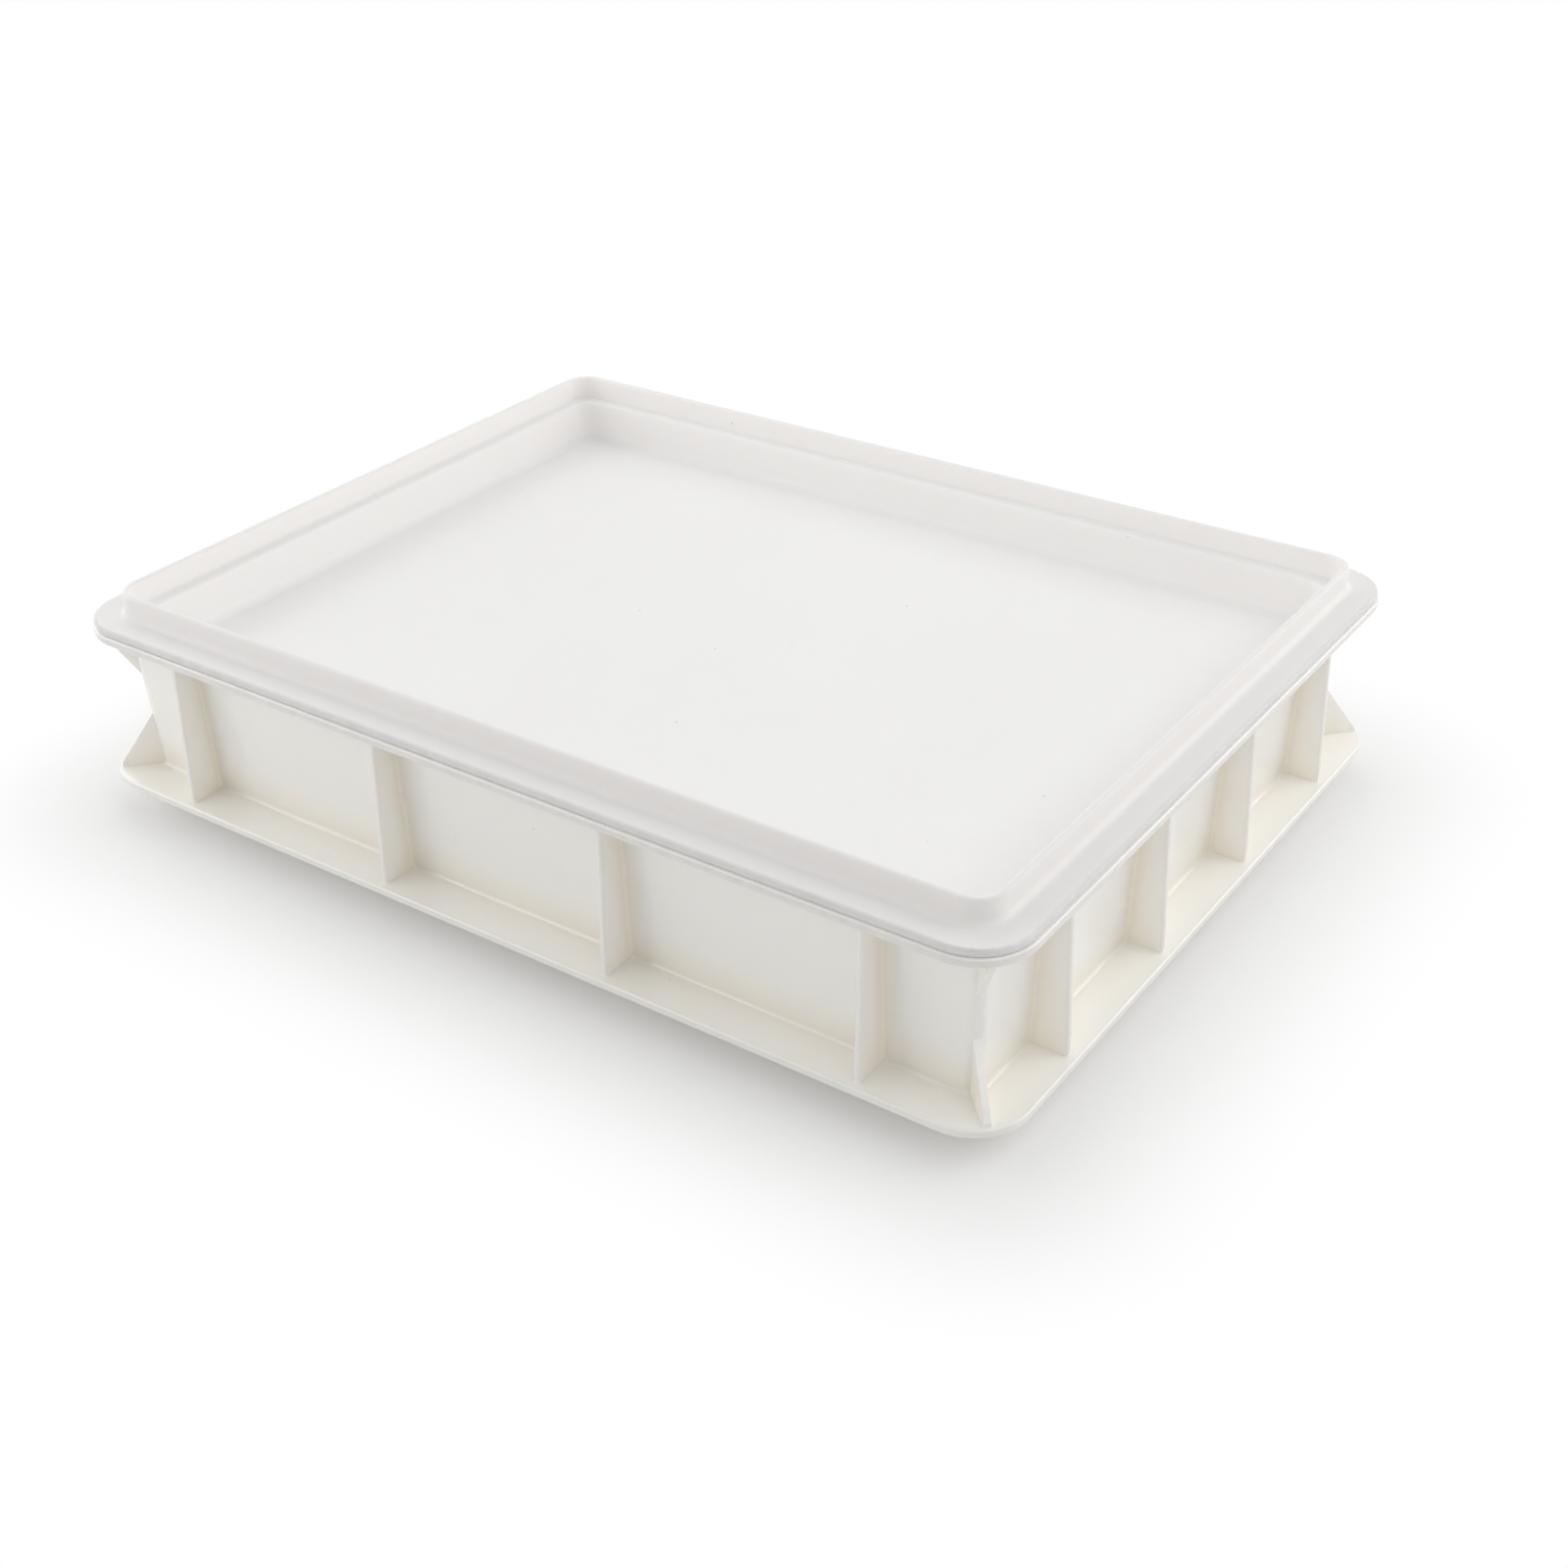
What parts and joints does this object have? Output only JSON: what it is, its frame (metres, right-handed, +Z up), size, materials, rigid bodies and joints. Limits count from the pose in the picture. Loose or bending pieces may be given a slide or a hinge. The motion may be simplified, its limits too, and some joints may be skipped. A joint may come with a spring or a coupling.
{
  "type": "dough proofing container",
  "caption": "Shallow rectangular stacking box for proofing dough, with ribbed and flanged sides and a lift-off tray lid whose raised collar takes the foot of the next box.",
  "frame": {"origin": "middle of the box's footprint, on the table under its foot", "axes": "+X along the long side, +Y along the short side, +Z up out of the lid"},
  "size_m": [0.4, 0.3, 0.09],
  "materials": {
    "container": "cream-white moulded polypropylene, satin, lightly textured",
    "lid": "white moulded polypropylene, satin, lightly textured"
  },
  "bodies": {
    "box": {"container": "container"},
    "cover": {"lid": "lid"}
  },
  "joints": [
    {"name": "lid_lift", "type": "slide", "parent": "box", "child": "cover", "axis": [0, 0, 1], "range_m": [0, 0.2]}
  ]
}
